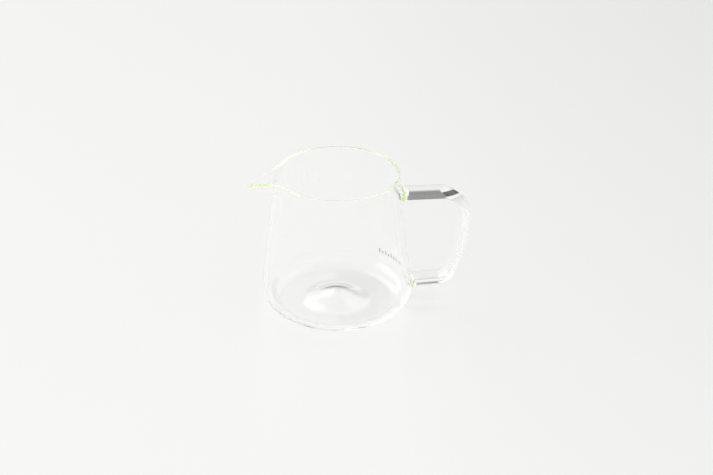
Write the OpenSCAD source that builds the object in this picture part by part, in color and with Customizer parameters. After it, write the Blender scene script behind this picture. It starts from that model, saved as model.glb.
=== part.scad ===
// Glass coffee server: a blown conical vessel with a drawn pouring lip, and a flattened glass rod bent
// to a handle and welded to the wall at both ends. The vessel's axis is Z, its foot stands on z = 0 and
// the handle points along +X, with the lip opposite.

/* [Vessel] */
// Height from the table to the top of the rim
height = 94; // [88:1:104]
// Largest outside diameter, just above the foot
body_d = 98; // [92:1:106]
// Outside diameter at the rim
rim_d = 80; // [74:1:86]
// Thickness of the blown wall
wall = 1.8; // [1.4:0.1:2.4]
// Outside radius of the turn from the foot to the wall
corner_r = 13.5; // [10:0.5:16]

/* [Foot] */
// Thickness of the glass under the coffee
floor_t = 2.4; // [1.8:0.1:3.6]
// Width of the flat ring that stands on the table
foot_w = 2.5; // [1.5:0.5:5]
// Rise of the shallow hollow inside that ring
hollow_h = 1; // [0.5:0.1:2]
// Further rise of the kick-up in the middle
kick_h = 6; // [2:0.5:8]
// Radius of the kick-up
kick_r = 24; // [18:1:30]

/* [Pouring lip] */
// How far the tip stands out from the rim
lip_reach = 17.5; // [10:0.5:20]
// How far the tip is drawn down below the rim
lip_drop = 5.5; // [2:0.5:7]
// Height of the stretch of wall that the lip is drawn from
lip_zone = 18; // [14:1:22]
// Angle in which the lip falls away to each side, in degrees
lip_spread = 7.6; // [6:0.2:10]
// Angle over which the tip is rounded, in degrees
tip_round = 3; // [2:0.5:5]
// How far the rim is pinched in on each side of the lip
pinch_in = 1.3; // [0.5:0.1:2]
// Angle from the lip's centre line to each pinch, in degrees
pinch_at = 29; // [25:1:34]
// Angle in which each pinch falls away, in degrees
pinch_spread = 9.4; // [7:0.2:12]

/* [Handle] */
// Width of the flattened rod, in section two half ellipses that meet at its side edges
strip_w = 16.5; // [13:0.5:18]
// Share of the rod's thickness that lies outside its side edges, where it is domed more than inside
dome_share = 0.75; // [0.5:0.05:0.8]
// Thickness of the rod along the upper leg and bend
upper_strip_t = 6.6; // [5.5:0.1:8]
// Thickness along the lower bend and leg, which the rod tapers to over the upright
lower_strip_t = 5; // [4:0.1:6]
// Drop from the rim to the middle of the upper leg
upper_leg_drop = 15.8; // [12:0.1:20]
// Height of the middle of the lower leg where it meets the wall
lower_leg_z = 12.7; // [12:0.1:24]
// Distance from the wall at the upper leg to the middle of the upright at its top
handle_out = 42.4; // [36:0.1:48]
// Radius of the upper bend in the rod's middle
upper_bend_r = 18; // [12:0.5:22]
// Radius of the lower bend in the rod's middle
lower_bend_r = 11; // [8:0.5:16]
// Radius of the upright's bow in the rod's middle
bow_r = 105; // [90:5:250]
// Outward rise of the lower leg, in degrees
lower_leg_rise = 2.4; // [0:0.1:8]

/* [Welds] */
// Length of the upper weld, from the wall to the rod's end
upper_weld_l = 4.5; // [3:0.5:7]
// Length of the lower weld, from the wall to the rod's end
lower_weld_l = 3.3; // [2.5:0.1:6]
// How far the glass spreads round the rod where it meets the wall
weld_spread = 1.6; // [0.8:0.1:2.4]

/* [Tick marks] */
// Number of fired-on ticks
tick_count = 9; // [5:2:13]
// Height of the long ticks; the short ones between them are shorter by tick_step
tick_h = 3; // [2:0.5:5]
// Height that a short tick lacks
tick_step = 1; // [0.5:0.1:1.5]
// Width of one tick along the wall
tick_w = 0.7; // [0.4:0.1:1.2]
// Distance from one tick to the next along the wall
tick_pitch = 2.9; // [2:0.1:4]
// Thickness of the fired-on colour
tick_t = 0.15; // [0.1:0.05:0.3]
// Height of the foot of the row above the table
tick_z = 15.8; // [15:0.1:60]
// Angle from the handle to the middle of the row, in degrees
tick_at = 32; // [25:1:60]

/* [Hidden] */

glass_colour = [0.86, 0.93, 0.9, 0.4];
tick_colour = "dimgray";

// Half angle of the wall's stretch that the lip deforms, and the powers of its rise towards the rim
lip_half_angle = 60;
lip_power = 2.6;
pinch_power = 2;
// Overrun of cuts, and step of the slopes that are measured on the lip
overrun = 4;
nudge = 0.01;
nudge_angle = 0.05;
// How deep the drawn lip's edges lap into the turned wall, and how far its faces lie inside that wall's
lap = 1;
lap_step = 0.03;
// How far the welds are lofted into the wall before its surface cuts them
weld_sink = 0.3;
// Numbers of steps along arcs and across the loft of the lip and the welds
arc_steps = 12;
rim_steps = 5;
floor_steps = 20;
lip_rows = 12;
lip_columns = 64;
lip_row_power = 1.5;
lip_middle_share = 0.4;
lip_rim_steps = 6;
weld_rings = 6;
bend_steps = 14;
strip_sides = 36;
tick_steps = 3;

// Centres of the turn at the foot and of the rounded rim, and the lean of the straight wall between them
rim_r = wall / 2;
corner_c = [body_d / 2 - corner_r, corner_r];
rim_c = [rim_d / 2 - rim_r, height - rim_r];
corner_to_rim = rim_c - corner_c;
lean = atan2(corner_to_rim.y, corner_to_rim.x) - acos((corner_r - rim_r) / norm(corner_to_rim));
wall_out = [cos(lean), sin(lean)];
wall_up = [-sin(lean), cos(lean)];
foot_in_r = corner_c.x - foot_w;

// Inner turn, round the same upright line and touching both the floor and the inner wall
inner_corner_r = (rim_c * wall_out - rim_r - corner_c.x * wall_out.x - floor_t * wall_out.y)
    / (1 + wall_out.y);
inner_corner_c = [corner_c.x, floor_t + inner_corner_r];

// Start of the lip zone on the middle of the wall, and the zone's length along it
lip_l = lip_zone / wall_up.y;
lip_start = rim_c - lip_l * wall_up;

// Radius of the vessel's outside at a height
tangent_z = corner_c.y + corner_r * wall_out.y;
function outer_r(z) = z < tangent_z
    ? corner_c.x + sqrt(corner_r * corner_r - pow(z - corner_c.y, 2))
    : rim_c.x + (rim_r - (z - rim_c.y) * wall_out.y) / wall_out.x;

// Handle route in the XZ plane: the ends of its legs, and the centres of its two bends and of the bow
// between them, which starts upright and ends where the lower bend brings the route to the lower leg
upper_leg_z = height - upper_leg_drop;
upper_wall = [outer_r(upper_leg_z), upper_leg_z];
lower_wall = [outer_r(lower_leg_z), lower_leg_z];
lower_turn = lower_leg_rise - 90;
function out_of(turn) = [cos(turn), sin(turn)];
function along(turn) = [sin(turn), -cos(turn)];
upper_c = upper_wall + [handle_out - upper_bend_r, -upper_bend_r];
bow_c = upper_c + [upper_bend_r - bow_r, 0];
bow_turn = lower_turn + acos(((lower_wall - bow_c) * out_of(lower_turn) - lower_bend_r)
    / (bow_r - lower_bend_r));
lower_c = bow_c + (bow_r - lower_bend_r) * out_of(bow_turn);
upper_end = upper_wall + [upper_weld_l, 0];
lower_end = lower_wall - lower_weld_l * along(lower_turn);

function arc(centre, r, from, to, steps) =
    [for (i = [0:steps]) centre + r * out_of(from + (to - from) * i / steps)];

// Rise of the foot's underside, and of the floor above it, at a radius
function bell(share) = share < 1 ? (1 + cos(180 * share)) / 2 : 0;
function foot_rise(r) = hollow_h * bell(r / foot_in_r) + kick_h * bell(r / kick_r);

module vessel_section() {
    function floor_point(i, lift) =
        let (r = foot_in_r * i / floor_steps) [r, lift + foot_rise(r)];
    polygon(concat(
        [for (i = [0:floor_steps]) floor_point(i, 0)],
        arc(corner_c, corner_r, -90, lean, arc_steps),
        arc(rim_c, rim_r, lean, 90, rim_steps),
        arc(rim_c, rim_r, 90, lean + 180, rim_steps),
        arc(inner_corner_c, inner_corner_r, lean, -90, arc_steps),
        [for (i = [floor_steps:-1:0]) floor_point(i, floor_t)]));
}

// Shares of the lip's full swell and of the pinch at an angle from the lip's centre line
function fade(turn) = abs(turn) < lip_half_angle ? pow(1 - pow(turn / lip_half_angle, 2), 2) : 0;
function swell(turn) =
    fade(turn) * exp((tip_round - sqrt(turn * turn + tip_round * tip_round)) / lip_spread);
function pinch(turn) = fade(turn) * exp(-pow((abs(turn) - pinch_at) / pinch_spread, 2));

// Middle of the drawn wall, a millimetres up from the start of the zone
function lip_mid(a, turn) =
    let (up = max(a / lip_l, 0),
         drawn = swell(turn) * pow(up, lip_power),
         foot = lip_start + a * wall_up,
         r = foot.x + lip_reach * drawn - pinch_in * pinch(turn) * pow(up, pinch_power))
    [r * cos(turn), r * sin(turn), foot.y - lip_drop * drawn];

// A point of the drawn wall, d millimetres out of its middle; past the zone's end it rounds the edge
function unit(v) = v / norm(v);
function lip_point(a, d, turn) =
    let (b = min(a, lip_l),
         across = lip_mid(b, turn + nudge_angle) - lip_mid(b, turn - nudge_angle),
         up = lip_mid(b + nudge, turn) - lip_mid(b - nudge, turn),
         out = unit(cross(across, up)))
    lip_mid(b, turn) + d * out + (a - b) * unit(cross(out, across));

// Closed loft through rings of equally many points, which run anticlockwise to an eye that looks from
// the first ring towards the last
module loft(rings) {
    n = len(rings[0]);
    last = len(rings) - 1;
    function sides(a, b, c, d) = [[a, b, c], [b, d, c]];
    polyhedron(
        points = [for (ring = rings) each ring],
        faces = concat(
            [[for (k = [n - 1:-1:0]) k]],
            [for (i = [0:last - 1], k = [0:n - 1])
                let (m = (k + 1) % n, from = i * n, to = from + n)
                each sides(from + k, from + m, to + k, to + m)],
            [[for (k = [0:n - 1]) last * n + k]]),
        convexity = 8);
}

// The lip's wall in section, as distances up and out of its middle, lofted from side to side
module drawn_lip() {
    half = rim_r - lap_step;
    rows = [for (j = [0:lip_rows]) (lip_l + lap) * (1 - pow(1 - j / lip_rows, lip_row_power)) - lap];
    section = concat(
        [for (a = rows) [a, half]],
        [for (j = [1:lip_rim_steps - 1]) let (round = out_of(90 - 180 * j / lip_rim_steps))
            [lip_l + half * round.x, half * round.y]],
        [for (j = [lip_rows:-1:0]) [rows[j], -half]]);
    reach = lip_half_angle + atan(lap / rim_c.x);
    turns = [for (i = [0:lip_columns]) let (x = 2 * i / lip_columns - 1)
        reach * (lip_middle_share * x + (1 - lip_middle_share) * pow(x, 3))];
    rotate([0, 0, 180]) loft([for (turn = turns) [for (p = section) lip_point(p.x, p.y, turn)]]);
}

// Stretch of the turned wall that the drawn lip takes the place of
module lip_gap() {
    rotate([0, 0, 180 - lip_half_angle])
        rotate_extrude(angle = 2 * lip_half_angle)
            translate([rim_c.x - lip_reach, lip_start.y])
                square([2 * lip_reach, lip_zone + overrun]);
}

module glass_body() {
    color(glass_colour) {
        difference() {
            rotate_extrude($fn = 180) vessel_section();
            lip_gap($fn = 180);
        }
        drawn_lip();
    }
}

// Outline of the rod in section, grown by an amount: thickness t along X, domed side first, width along Y
function strip_ring(t, grow = 0) =
    [for (i = [0:strip_sides - 1])
        let (turn = 360 * i / strip_sides, share = cos(turn) > 0 ? dome_share : 1 - dome_share)
        [t * (1 / 2 - dome_share) + (t * share + grow) * cos(turn), (strip_w / 2 + grow) * sin(turn)]];

// Stations of an arc of the route after its start, each a place on the rod's middle, the turn of its
// section there and its thickness
function bend(centre, r, from, to, from_t, to_t) =
    [for (i = [1:bend_steps]) let (share = i / bend_steps, turn = from + (to - from) * share)
        [centre + r * out_of(turn), turn, from_t + (to_t - from_t) * share]];

module handle() {
    stations = concat(
        [[upper_end, 90, upper_strip_t],
         [upper_c + [0, upper_bend_r], 90, upper_strip_t]],
        bend(upper_c, upper_bend_r, 90, 0, upper_strip_t, upper_strip_t),
        bend(bow_c, bow_r, 0, bow_turn, upper_strip_t, lower_strip_t),
        bend(lower_c, lower_bend_r, bow_turn, lower_turn, lower_strip_t, lower_strip_t),
        [[lower_end, lower_turn, lower_strip_t]]);
    color(glass_colour)
        loft([for (station = stations) [for (q = strip_ring(station[2]))
            let (p = station[0] + q.x * out_of(station[1])) [p.x, q.y, p.y]]]);
}

// Fused glass between the rod's end and the wall: it spreads as it nears the wall, and the wall's
// surface cuts its last rings
module weld(end, turn, t, length) {
    ahead = along(turn);
    function ring_point(q, share) =
        let (start = end + q.x * out_of(turn),
             wall_x = sqrt(pow(outer_r(start.y), 2) - q.y * q.y),
             p = start - share * (start.x - wall_x) / ahead.x * ahead)
        [p.x, -sign(ahead.x) * q.y, p.y];
    difference() {
        loft([for (i = [0:weld_rings])
            let (share = i / weld_rings,
                 grow = weld_spread * (1 - sqrt(1 - share * share)))
            [for (q = strip_ring(t, grow)) ring_point(q, share * (1 + weld_sink / length))]]);
        rotate_extrude($fn = 180) vessel_core();
    }
}

// Solid inside the vessel's outer surface, up to the rim's centre
module vessel_core() {
    polygon(concat([[0, 0]],
        arc(corner_c, corner_r, -90, lean, arc_steps),
        [rim_c + rim_r * wall_out, [0, rim_c.y]]));
}

module upper_weld() {
    color(glass_colour) weld(upper_end, 90, upper_strip_t, upper_weld_l);
}

module lower_weld() {
    color(glass_colour) weld(lower_end, lower_turn, lower_strip_t, lower_weld_l);
}

module tick(h) {
    levels = [for (i = [0:tick_steps]) tick_z + h * i / tick_steps];
    rotate_extrude(angle = 2 * asin(tick_w / 2 / outer_r(tick_z)), $fn = 180)
        polygon(concat(
            [for (z = levels) [outer_r(z) + tick_t, z]],
            [for (i = [tick_steps:-1:0]) [outer_r(levels[i]), levels[i]]]));
}

module tick_marks() {
    step = 2 * asin(tick_pitch / 2 / outer_r(tick_z));
    color(tick_colour)
        for (i = [0:tick_count - 1])
            rotate([0, 0, tick_at + (i - (tick_count - 1) / 2) * step])
                tick(i % 2 == 0 ? tick_h : tick_h - tick_step);
}

glass_body();
handle();
upper_weld();
lower_weld();
tick_marks();
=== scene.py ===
"""Looks, floor, light and camera of the glass coffee server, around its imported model.

Lengths are in metres. The vessel's axis is Z, the handle points along +X and the lip along -X.
"""
import math

import bmesh
import bpy
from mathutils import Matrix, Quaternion, Vector


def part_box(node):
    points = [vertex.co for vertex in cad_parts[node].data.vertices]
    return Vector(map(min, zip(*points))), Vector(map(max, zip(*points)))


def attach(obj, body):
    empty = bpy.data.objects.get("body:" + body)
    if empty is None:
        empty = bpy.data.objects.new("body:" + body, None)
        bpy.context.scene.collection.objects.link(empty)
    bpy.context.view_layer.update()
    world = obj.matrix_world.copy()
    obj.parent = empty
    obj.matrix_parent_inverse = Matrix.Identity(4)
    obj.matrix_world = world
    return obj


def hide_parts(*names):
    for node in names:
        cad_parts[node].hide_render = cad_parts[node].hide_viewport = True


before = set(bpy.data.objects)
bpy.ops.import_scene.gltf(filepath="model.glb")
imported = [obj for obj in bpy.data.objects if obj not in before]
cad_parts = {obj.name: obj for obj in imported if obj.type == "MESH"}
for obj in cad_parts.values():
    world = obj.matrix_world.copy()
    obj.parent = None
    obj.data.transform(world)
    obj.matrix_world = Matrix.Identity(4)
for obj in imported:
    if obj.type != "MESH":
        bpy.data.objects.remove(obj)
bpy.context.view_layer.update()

# Vessel
VESSEL_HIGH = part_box("glass_body")[1]
HEIGHT = VESSEL_HIGH.z
BODY_R = VESSEL_HIGH.x
RIM_R = 0.040
WALL = 0.0018
CORNER_R = 0.0135
FLOOR_T = 0.0024
FOOT_W = 0.0025
HOLLOW_H = 0.001
KICK_H = 0.006
KICK_R = 0.024

# Pouring lip; its spreads are angles in degrees
LIP_REACH = 0.0175
LIP_DROP = 0.0055
LIP_ZONE = 0.018
LIP_SPREAD = 7.6
TIP_ROUND = 3
PINCH_IN = 0.0013
PINCH_AT = 29
PINCH_SPREAD = 9.4
LIP_HALF_ANGLE = 60
LIP_POWER = 2.6
PINCH_POWER = 2

# Handle and its welds
STRIP_W = 0.0165
DOME_SHARE = 0.75
UPPER_STRIP_T = 0.0066
LOWER_STRIP_T = 0.005
UPPER_LEG_DROP = 0.0158
LOWER_LEG_Z = 0.0127
HANDLE_OUT = 0.0424
UPPER_BEND_R = 0.018
LOWER_BEND_R = 0.011
BOW_R = 0.105
LOWER_LEG_RISE = math.radians(2.4)
UPPER_WELD_L = 0.0045
LOWER_WELD_L = 0.0033
WELD_SPREAD = 0.0016

# Camera: its place, the point that it looks at and its roll
CAMERA_PLACE = Vector((-0.10162, -0.96685, 0.57467))
LOOK_AT = Vector((0.0126, -0.00053, 0.04661))
CAMERA_ROLL = math.radians(0.635)
LENS_MM = 85.83
SENSOR_MM = 36
CLIP_END = 50


def section(x, z):
    """Point of the XZ plane."""
    return Vector((x, 0, z))


# Straight wall between the turn at the foot and the rounded rim
EDGE_R = WALL / 2
CORNER_C = section(BODY_R - CORNER_R, CORNER_R)
RIM_C = section(RIM_R - EDGE_R, HEIGHT - EDGE_R)
CORNER_TO_RIM = RIM_C - CORNER_C
LEAN = (math.atan2(CORNER_TO_RIM.z, CORNER_TO_RIM.x)
        - math.acos((CORNER_R - EDGE_R) / CORNER_TO_RIM.length))
WALL_OUT = section(math.cos(LEAN), math.sin(LEAN))
WALL_UP = section(-math.sin(LEAN), math.cos(LEAN))
FOOT_IN_R = CORNER_C.x - FOOT_W
INNER_CORNER_R = ((RIM_C.dot(WALL_OUT) - EDGE_R - CORNER_C.x * WALL_OUT.x - FLOOR_T * WALL_OUT.z)
                  / (1 + WALL_OUT.z))
INNER_CORNER_C = section(CORNER_C.x, FLOOR_T + INNER_CORNER_R)
LIP_L = LIP_ZONE / WALL_UP.z
LIP_START = RIM_C - LIP_L * WALL_UP


def outer_r(z):
    """Radius of the vessel's outside at a height."""
    if z < CORNER_C.z + CORNER_R * WALL_OUT.z:
        return CORNER_C.x + math.sqrt(CORNER_R ** 2 - (z - CORNER_C.z) ** 2)
    return RIM_C.x + (EDGE_R - (z - RIM_C.z) * WALL_OUT.z) / WALL_OUT.x


def out_of(turn):
    return section(math.cos(turn), math.sin(turn))


def along(turn):
    return section(math.sin(turn), -math.cos(turn))


# Handle's route in the XZ plane
UPPER_LEG_Z = HEIGHT - UPPER_LEG_DROP
UPPER_WALL = section(outer_r(UPPER_LEG_Z), UPPER_LEG_Z)
LOWER_WALL = section(outer_r(LOWER_LEG_Z), LOWER_LEG_Z)
UPPER_TURN = math.pi / 2
LOWER_TURN = LOWER_LEG_RISE - math.pi / 2
UPPER_C = UPPER_WALL + section(HANDLE_OUT - UPPER_BEND_R, -UPPER_BEND_R)
BOW_C = UPPER_C + section(UPPER_BEND_R - BOW_R, 0)
BOW_TURN = LOWER_TURN + math.acos(((LOWER_WALL - BOW_C).dot(out_of(LOWER_TURN)) - LOWER_BEND_R)
                                  / (BOW_R - LOWER_BEND_R))
LOWER_C = BOW_C + (BOW_R - LOWER_BEND_R) * out_of(BOW_TURN)
UPPER_END = UPPER_WALL + section(UPPER_WELD_L, 0)
LOWER_END = LOWER_WALL - LOWER_WELD_L * along(LOWER_TURN)


# Meshes

MERGE_GAP = 1e-7


def finish_piece(name, bm, material):
    """Closes a bmesh's seams, turns its faces outwards and makes it a smooth piece of the frame."""
    bmesh.ops.remove_doubles(bm, verts=bm.verts, dist=MERGE_GAP)
    bmesh.ops.recalc_face_normals(bm, faces=bm.faces)
    for face in bm.faces:
        face.smooth = True
    mesh = bpy.data.meshes.new(name)
    bm.to_mesh(mesh)
    bm.free()
    mesh.materials.append(material)
    piece = bpy.data.objects.new(name, mesh)
    bpy.context.scene.collection.objects.link(piece)
    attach(piece, "root")
    return piece


def draw_line(bm, vert, end, steps):
    """Draws a line from a vertex to a point in equal steps and gives the vertex at its end."""
    start = vert.co.copy()
    for step in range(1, steps + 1):
        vert = bmesh.ops.extrude_vert_indiv(bm, verts=[vert])["verts"][0]
        vert.co = start.lerp(end, step / steps)
    return vert


def draw_arc(bm, vert, centre, angle, steps):
    """Draws an arc from a vertex, turning from +X towards +Z, and gives the vertex at its end."""
    made = bmesh.ops.spin(bm, geom=[vert], cent=centre, axis=(0, -1, 0), angle=angle, steps=steps,
                          use_duplicate=False)
    return next(part for part in made["geom_last"] if isinstance(part, bmesh.types.BMVert))


# Vessel

def bell(share):
    return (1 + math.cos(math.pi * share)) / 2 if share < 1 else 0


def foot_rise(r):
    return HOLLOW_H * bell(r / FOOT_IN_R) + KICK_H * bell(r / KICK_R)


def fade(turn):
    return max(1 - (turn / LIP_HALF_ANGLE) ** 2, 0) ** 2


def swell(turn):
    return fade(turn) * math.exp((TIP_ROUND - math.hypot(turn, TIP_ROUND)) / LIP_SPREAD)


def pinch(turn):
    return fade(turn) * math.exp(-((abs(turn) - PINCH_AT) / PINCH_SPREAD) ** 2)


def lip_mid(a, turn):
    """Middle of the drawn wall, a up from the start of the lip zone and turn degrees from the lip."""
    up = max(a / LIP_L, 0)
    drawn = swell(turn) * up ** LIP_POWER
    foot = LIP_START + a * WALL_UP
    r = foot.x + LIP_REACH * drawn - PINCH_IN * pinch(turn) * up ** PINCH_POWER
    angle = math.radians(turn)
    return Vector((-r * math.cos(angle), -r * math.sin(angle), foot.z - LIP_DROP * drawn))


# Small steps, in metres and in degrees, between the points that give the wall its slopes
NUDGE = 1e-5
NUDGE_ANGLE = 0.05


def lip_point(a, d, turn):
    """Point of the drawn wall, d out of its middle; past the zone's end it rounds the edge."""
    b = min(a, LIP_L)
    across = lip_mid(b, turn + NUDGE_ANGLE) - lip_mid(b, turn - NUDGE_ANGLE)
    up = lip_mid(b + NUDGE, turn) - lip_mid(b - NUDGE, turn)
    out = across.cross(up).normalized()
    return lip_mid(b, turn) + d * out + (a - b) * out.cross(across).normalized()


# Steps along each stretch of the vessel's section
BASE_STEPS = 44
FOOT_STEPS = 2
CORNER_STEPS = 28
WALL_STEPS = 19
LIP_STEPS = 36
RIM_STEPS = 14


def draw_vessel_section(bm):
    """Half section from the middle of the underside, up the outside, over the rim and back inside."""
    vert = bm.verts.new(section(0, 0))
    vert = draw_line(bm, vert, section(FOOT_IN_R, 0), steps=BASE_STEPS)
    vert = draw_line(bm, vert, section(CORNER_C.x, 0), steps=FOOT_STEPS)
    vert = draw_arc(bm, vert, CORNER_C, math.pi / 2 + LEAN, steps=CORNER_STEPS)
    vert = draw_line(bm, vert, LIP_START + EDGE_R * WALL_OUT, steps=WALL_STEPS)
    vert = draw_line(bm, vert, RIM_C + EDGE_R * WALL_OUT, steps=LIP_STEPS)
    vert = draw_arc(bm, vert, RIM_C, math.pi, steps=RIM_STEPS)
    vert = draw_line(bm, vert, LIP_START - EDGE_R * WALL_OUT, steps=LIP_STEPS)
    vert = draw_line(bm, vert, INNER_CORNER_C + INNER_CORNER_R * WALL_OUT, steps=WALL_STEPS)
    vert = draw_arc(bm, vert, INNER_CORNER_C, -math.pi / 2 - LEAN, steps=CORNER_STEPS)
    vert = draw_line(bm, vert, section(FOOT_IN_R, FLOOR_T), steps=FOOT_STEPS)
    draw_line(bm, vert, section(0, FLOOR_T), steps=BASE_STEPS)


# Columns of the turned wall, and how strongly they crowd towards the lip
TURN_STEPS = 320
TURN_CROWDING = 0.7


def shape_vessel_vert(vert):
    """Raises the foot's hollow and kick-up, crowds the turned columns towards the lip and draws it."""
    r = math.hypot(vert.co.x, vert.co.y)
    if r < FOOT_IN_R:
        vert.co.z += foot_rise(r)
    from_lip = math.atan2(vert.co.y, -vert.co.x)
    turn = from_lip - TURN_CROWDING * math.sin(from_lip)
    vert.co.x, vert.co.y = -r * math.cos(turn), r * math.sin(turn)
    offset = section(r, vert.co.z) - LIP_START
    a = offset.dot(WALL_UP)
    if a > 0 and r > FOOT_IN_R and abs(turn) < math.radians(LIP_HALF_ANGLE):
        vert.co = lip_point(a, offset.dot(WALL_OUT), -math.degrees(turn))


def make_vessel(material):
    bm = bmesh.new()
    draw_vessel_section(bm)
    bmesh.ops.spin(bm, geom=bm.verts[:] + bm.edges[:], cent=(0, 0, 0), axis=(0, 0, 1),
                   angle=2 * math.pi, steps=TURN_STEPS, use_merge=True)
    for vert in bm.verts:
        shape_vessel_vert(vert)
    piece = finish_piece("vessel", bm, material)
    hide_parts("glass_body")
    return piece


# Handle and welds

STRIP_SIDES = 96
UPPER_BEND_STEPS = 56
BOW_STEPS = 28
LOWER_BEND_STEPS = 44
WELD_STEPS = 16
# Rings on a weld's face against the wall, as shares of its outline
WELD_CAP_SIZES = [0.75, 0.5, 0.25]


def start_strip(bm):
    """Edges of a circle that stands for the rod's outline.

    Each vertex keeps its place on that circle, which the loops extruded from it inherit.
    """
    bmesh.ops.create_circle(bm, segments=STRIP_SIDES, radius=1)
    outline = bm.verts.layers.float_vector.new("outline")
    bm.faces.layers.float.new("joint")
    for vert in bm.verts:
        vert[outline] = vert.co
    return bm.edges[:]


def verts_of(edges):
    return list({vert for edge in edges for vert in edge.verts})


def outline_point(bm, vert, t, grow=0):
    """Point of the rod's outline, two half ellipses: thickness t along X, width along Y."""
    on_circle = vert[bm.verts.layers.float_vector["outline"]]
    share = DOME_SHARE if on_circle.x > 0 else 1 - DOME_SHARE
    return Vector((t * (0.5 - DOME_SHARE) + (t * share + grow) * on_circle.x,
                   (STRIP_W / 2 + grow) * on_circle.y, 0))


def place_strip(bm, edges, place, turn, t):
    """Puts a loop of the rod at a place of the route, its outline's X along out_of(turn)."""
    for vert in verts_of(edges):
        point = outline_point(bm, vert, t)
        vert.co = place + point.x * out_of(turn) + Vector((0, point.y, 0))


def next_loop(bm, edges):
    made = bmesh.ops.extrude_edge_only(bm, edges=edges)["geom"]
    return [part for part in made if isinstance(part, bmesh.types.BMEdge)]


def close_joint(bm, edges):
    """Closes an open end with a face that is marked as fused to the next piece."""
    for face in bmesh.ops.edgeloop_fill(bm, edges=edges)["faces"]:
        face[bm.faces.layers.float["joint"]] = 1
    for edge in edges:
        edge.smooth = False


def bend(centre, r, from_turn, to_turn, from_t, to_t, steps):
    """Stations of an arc of the route after its start: place, turn and thickness."""
    for step in range(1, steps + 1):
        share = step / steps
        turn = from_turn + (to_turn - from_turn) * share
        yield centre + r * out_of(turn), turn, from_t + (to_t - from_t) * share


def make_handle(material):
    stations = [(UPPER_C + UPPER_BEND_R * out_of(UPPER_TURN), UPPER_TURN, UPPER_STRIP_T)]
    stations += bend(UPPER_C, UPPER_BEND_R, UPPER_TURN, 0, UPPER_STRIP_T, UPPER_STRIP_T, UPPER_BEND_STEPS)
    stations += bend(BOW_C, BOW_R, 0, BOW_TURN, UPPER_STRIP_T, LOWER_STRIP_T, BOW_STEPS)
    stations += bend(LOWER_C, LOWER_BEND_R, BOW_TURN, LOWER_TURN, LOWER_STRIP_T, LOWER_STRIP_T,
                     LOWER_BEND_STEPS)
    stations.append((LOWER_END, LOWER_TURN, LOWER_STRIP_T))
    bm = bmesh.new()
    loop = start_strip(bm)
    place_strip(bm, loop, UPPER_END, UPPER_TURN, UPPER_STRIP_T)
    first = loop
    for station in stations:
        loop = next_loop(bm, loop)
        place_strip(bm, loop, *station)
    close_joint(bm, first)
    close_joint(bm, loop)
    piece = finish_piece("bent_handle", bm, material)
    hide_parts("handle")
    return piece


def place_weld_loop(bm, edges, end, turn, t, share, grow, size=1):
    """Puts a loop a share of the way from the rod's end to the wall, along the rod."""
    ahead = along(turn)
    for vert in verts_of(edges):
        point = outline_point(bm, vert, t, grow) * size
        start = end + point.x * out_of(turn)
        wall_x = math.sqrt(outer_r(start.z) ** 2 - point.y ** 2)
        travel = share * (start.x - wall_x) / ahead.x
        vert.co = start - travel * ahead + Vector((0, point.y, 0))


def make_weld(name, node, end, turn, t, material):
    bm = bmesh.new()
    loop = start_strip(bm)
    place_strip(bm, loop, end, turn, t)
    first = loop
    for step in range(1, WELD_STEPS + 1):
        angle = math.pi / 2 * step / WELD_STEPS
        loop = next_loop(bm, loop)
        place_weld_loop(bm, loop, end, turn, t, math.sin(angle), WELD_SPREAD * (1 - math.cos(angle)))
    sides = set(bm.faces)
    for edge in loop:
        edge.smooth = False
    for size in WELD_CAP_SIZES:
        loop = next_loop(bm, loop)
        place_weld_loop(bm, loop, end, turn, t, 1, WELD_SPREAD, size)
    for face in set(bm.faces) - sides:
        face[bm.faces.layers.float["joint"]] = 1
    close_joint(bm, first)
    close_joint(bm, loop)
    piece = finish_piece(name, bm, material)
    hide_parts(node)
    return piece


# Materials

# Faint yellow-green of thick glass, and how fast it deepens with the way through it
GLASS_TINT = (0.95, 1, 0.825, 1)
GLASS_DENSITY = 4
GLASS_IOR = 1.473
PRINT_COLOUR = (0.12, 0.12, 0.115, 1)
PRINT_ROUGHNESS = 0.45


class Nodes:
    """Adds nodes to a tree and links them.

    Values and sockets are given by the input's name, or by its place as _0, _1 and so on.
    """

    def __init__(self, tree):
        self.tree = tree
        tree.nodes.clear()

    def add(self, kind, settings=None, **inputs):
        node = self.tree.nodes.new(kind)
        for key, value in (settings or {}).items():
            setattr(node, key, value)
        for key, value in inputs.items():
            self.put(node, key, value)
        return node

    def put(self, node, key, value):
        socket = node.inputs[int(key[1:])] if key[0] == "_" else node.inputs[key.replace("_", " ")]
        if isinstance(value, bpy.types.NodeSocket):
            self.tree.links.new(value, socket)
        else:
            socket.default_value = value

    def math(self, operation, *values):
        inputs = {f"_{i}": value for i, value in enumerate(values)}
        return self.add("ShaderNodeMath", {"operation": operation}, **inputs).outputs[0]


def new_material(name):
    material = bpy.data.materials.new(name)
    material.use_nodes = True
    return material, Nodes(material.node_tree)


def glass_shader(nodes, alpha):
    glass = nodes.add("ShaderNodeBsdfPrincipled", Base_Color=(1, 1, 1, 1), Roughness=0, IOR=GLASS_IOR,
                      Transmission_Weight=1, Alpha=alpha)
    depth = nodes.add("ShaderNodeVolumeAbsorption", Color=GLASS_TINT, Density=GLASS_DENSITY)
    nodes.add("ShaderNodeOutputMaterial", Surface=glass.outputs[0], Volume=depth.outputs[0])


def make_handle_glass():
    """Glass of handle and welds, which vanishes on the faces where they are fused together."""
    material, nodes = new_material("handle_glass")
    joint = nodes.add("ShaderNodeAttribute", {"attribute_name": "joint"}).outputs["Fac"]
    glass_shader(nodes, nodes.math("SUBTRACT", 1.0, joint))
    return material


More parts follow.
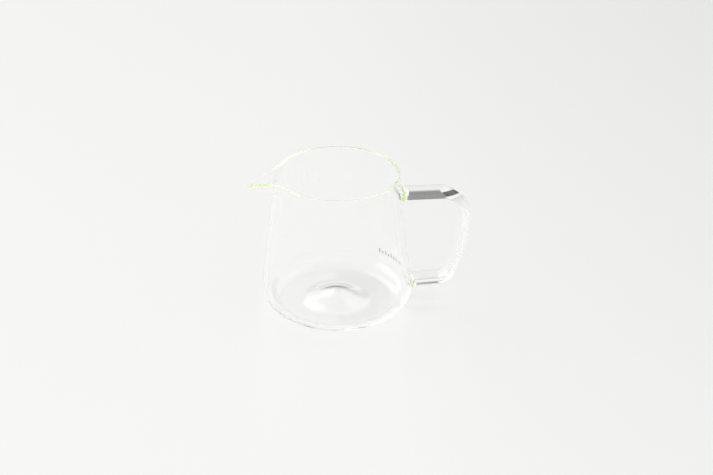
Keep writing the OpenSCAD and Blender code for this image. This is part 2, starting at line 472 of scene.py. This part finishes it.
def weld_window(nodes, place, wall, turn, t):
    """1 within the outline of a weld where it meets the wall, looking along the rod."""
    out = out_of(turn)
    across = nodes.math("MULTIPLY_ADD", place["X"], out.x,
                        nodes.math("MULTIPLY_ADD", place["Z"], out.z,
                                   t * (DOME_SHARE - 0.5) - wall.dot(out)))
    domed = nodes.math("MULTIPLY_ADD", nodes.math("GREATER_THAN", across, 0.0),
                       t * (2 * DOME_SHARE - 1), t * (1 - DOME_SHARE) + WELD_SPREAD)
    shares = [nodes.math("DIVIDE", across, domed),
              nodes.math("DIVIDE", place["Y"], STRIP_W / 2 + WELD_SPREAD)]
    squares = [nodes.math("MULTIPLY", share, share) for share in shares]
    return nodes.math("LESS_THAN", nodes.math("ADD", *squares), 1.0)


def make_vessel_glass():
    """Glass of the vessel, whose outside vanishes where the welds are fused to it."""
    material, nodes = new_material("clear_glass")
    place = nodes.add("ShaderNodeSeparateXYZ",
                      Vector=nodes.add("ShaderNodeTexCoord").outputs["Object"]).outputs
    r = nodes.math("SQRT", nodes.math("MULTIPLY_ADD", place["X"], place["X"],
                                      nodes.math("MULTIPLY", place["Y"], place["Y"])))
    depth = nodes.math("MULTIPLY_ADD", r, WALL_OUT.x, nodes.math("MULTIPLY", place["Z"], WALL_OUT.z))
    outside = nodes.math("GREATER_THAN", depth, RIM_C.dot(WALL_OUT) - EDGE_R / 2)
    windows = nodes.math("MAXIMUM",
                         weld_window(nodes, place, UPPER_WALL, UPPER_TURN, UPPER_STRIP_T),
                         weld_window(nodes, place, LOWER_WALL, LOWER_TURN, LOWER_STRIP_T))
    windows = nodes.math("MULTIPLY", windows, nodes.math("GREATER_THAN", place["X"], 0.0))
    glass_shader(nodes, nodes.math("MULTIPLY_ADD", nodes.math("MULTIPLY", windows, outside), -1.0, 1.0))
    return material


def make_print():
    material, nodes = new_material("fired_print")
    enamel = nodes.add("ShaderNodeBsdfPrincipled", Base_Color=PRINT_COLOUR, Roughness=PRINT_ROUGHNESS)
    nodes.add("ShaderNodeOutputMaterial", Surface=enamel.outputs[0])
    return material


# Studio

FLOOR_GAP = 0.0001
FLOOR_SIZE = 12
FLOOR_COLOUR = (0.93, 0.93, 0.915)
PAPER_ROUGHNESS = 0.4
PAPER_GLOSS = 0.5
# Painted shade in the floor's colour, which grows darker towards the right: from where, over what distance
# and how much
PAINTED_SHADE_START = 0.02
PAINTED_SHADE_LENGTH = 0.48
PAINTED_SHADE_LOSS = 0.11


def make_floor():
    bm = bmesh.new()
    bmesh.ops.create_grid(bm, x_segments=1, y_segments=1, size=FLOOR_SIZE / 2)
    bmesh.ops.translate(bm, verts=bm.verts, vec=(0, 0, -FLOOR_GAP))
    mesh = bpy.data.meshes.new("floor")
    bm.to_mesh(mesh)
    bm.free()
    floor = bpy.data.objects.new("floor", mesh)
    bpy.context.scene.collection.objects.link(floor)
    material, nodes = new_material("floor_paper")
    place = nodes.add("ShaderNodeSeparateXYZ",
                      Vector=nodes.add("ShaderNodeTexCoord").outputs["Object"]).outputs
    # Painted shade: the floor's colour is scaled down towards the right, in place of light that falls off
    light = nodes.add("ShaderNodeMapRange", Value=place["X"], From_Min=PAINTED_SHADE_START,
                      From_Max=PAINTED_SHADE_START + PAINTED_SHADE_LENGTH, To_Min=1.0, To_Max=1 - PAINTED_SHADE_LOSS).outputs[0]
    colour = nodes.add("ShaderNodeVectorMath", {"operation": "SCALE"}, _0=FLOOR_COLOUR, Scale=light)
    paper = nodes.add("ShaderNodeBsdfPrincipled", Base_Color=colour.outputs[0],
                      Roughness=PAPER_ROUGHNESS, Specular_IOR_Level=PAPER_GLOSS)
    nodes.add("ShaderNodeOutputMaterial", Surface=paper.outputs[0])
    mesh.materials.append(material)


ROOM_LIGHT = 0.93
# Walls and windows of the room. Each has its strength, its azimuths and its heights in degrees, from and
# to, with half the width of the soft edge; the azimuth turns from the far side towards the right.
ROOM_PANELS = [(0.6, (-182, 182, 1), (64, 91, 6)),
               (0.7, (-10, 6, 1), (-20, 44, 8)),
               (0.27, (-10, 6, 1), (-20, 20, 2)),
               (0.27, (6, 16, 1), (-20, 44, 8)),
               (0.10, (16, 66, 2), (7, 28, 2)),
               (2.6, (-102, -54, 3), (10, 38, 3)),
               (2.4, (-54, -28, 2), (10, 28, 2)),
               (1.8, (-28, -13, 1), (24, 33, 1)),
               (2.2, (-30, -2, 1), (33, 47, 1)),
               (2.2, (-30, -11, 1), (47, 61, 1)),
               (1.4, (46, 90, 4), (44, 64, 4))]
# Only the glass shows the windows at full strength. For the floor and the print, no panel is brighter
# than the cap, and the whole room is then brighter by the gain.
WINDOW_CAP = 1
CAPPED_GAIN = 1.19


def soft_step(nodes, value, at, soft):
    """0 below an angle and 1 above it, over a soft edge."""
    return nodes.add("ShaderNodeMapRange", {"interpolation_type": "SMOOTHSTEP"}, Value=value,
                     From_Min=math.radians(at - soft), From_Max=math.radians(at + soft)).outputs[0]


def between(nodes, value, low, high, soft):
    return nodes.math("SUBTRACT", soft_step(nodes, value, low, soft), soft_step(nodes, value, high, soft))


def make_world():
    """Pale room with dark walls low down on the far side and windows on the left."""
    world = bpy.data.worlds.new("studio")
    world.use_nodes = True
    bpy.context.scene.world = world
    nodes = Nodes(world.node_tree)
    towards = nodes.add("ShaderNodeSeparateXYZ",
                        Vector=nodes.add("ShaderNodeTexCoord").outputs["Generated"]).outputs
    azimuth = nodes.math("ARCTAN2", towards["X"], towards["Y"])
    height = nodes.math("ARCSINE", towards["Z"])
    light = ROOM_LIGHT
    for strength, azimuths, heights in ROOM_PANELS:
        panel = nodes.math("MULTIPLY", between(nodes, azimuth, *azimuths), between(nodes, height, *heights))
        light = nodes.add("ShaderNodeMix", _0=panel, _2=light, _3=strength).outputs[0]
    on_floor = nodes.math("MULTIPLY", nodes.math("MINIMUM", light, WINDOW_CAP), CAPPED_GAIN)
    # Rays that come sharply through or off the glass, and from no matt surface before it
    ray = nodes.add("ShaderNodeLightPath").outputs
    in_glass = nodes.math("GREATER_THAN", ray["Is Singular Ray"], ray["Diffuse Depth"])
    light = nodes.add("ShaderNodeMix", _0=in_glass, _2=on_floor, _3=light).outputs[0]
    sky = nodes.add("ShaderNodeBackground", Color=(1, 1, 1, 1), Strength=light)
    nodes.add("ShaderNodeOutputWorld", Surface=sky.outputs[0])


def make_camera():
    data = bpy.data.cameras.new("camera")
    data.sensor_width = SENSOR_MM
    data.lens = LENS_MM
    data.clip_end = CLIP_END
    camera = bpy.data.objects.new("camera", data)
    camera.location = CAMERA_PLACE
    look = (LOOK_AT - CAMERA_PLACE).to_track_quat("-Z", "Y")
    camera.rotation_euler = (look @ Quaternion((0, 0, 1), CAMERA_ROLL)).to_euler()
    bpy.context.scene.collection.objects.link(camera)
    bpy.context.scene.camera = camera


# Bounces that light may make in the glass, and fused faces that it may cross
GLASS_BOUNCES = 512
JOINT_CROSSINGS = 64

make_camera()
make_vessel(make_vessel_glass())
HANDLE_GLASS = make_handle_glass()
make_handle(HANDLE_GLASS)
make_weld("upper_joint", "upper_weld", UPPER_END, UPPER_TURN, UPPER_STRIP_T, HANDLE_GLASS)
make_weld("lower_joint", "lower_weld", LOWER_END, LOWER_TURN, LOWER_STRIP_T, HANDLE_GLASS)
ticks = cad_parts["tick_marks"]
ticks.data.materials.clear()
ticks.data.materials.append(make_print())
make_floor()
make_world()
bpy.context.scene.view_settings.view_transform = "Standard"
cycles = bpy.context.scene.cycles
cycles.blur_glossy = 0
cycles.max_bounces = GLASS_BOUNCES
cycles.transmission_bounces = GLASS_BOUNCES
cycles.glossy_bounces = GLASS_BOUNCES
cycles.transparent_max_bounces = JOINT_CROSSINGS
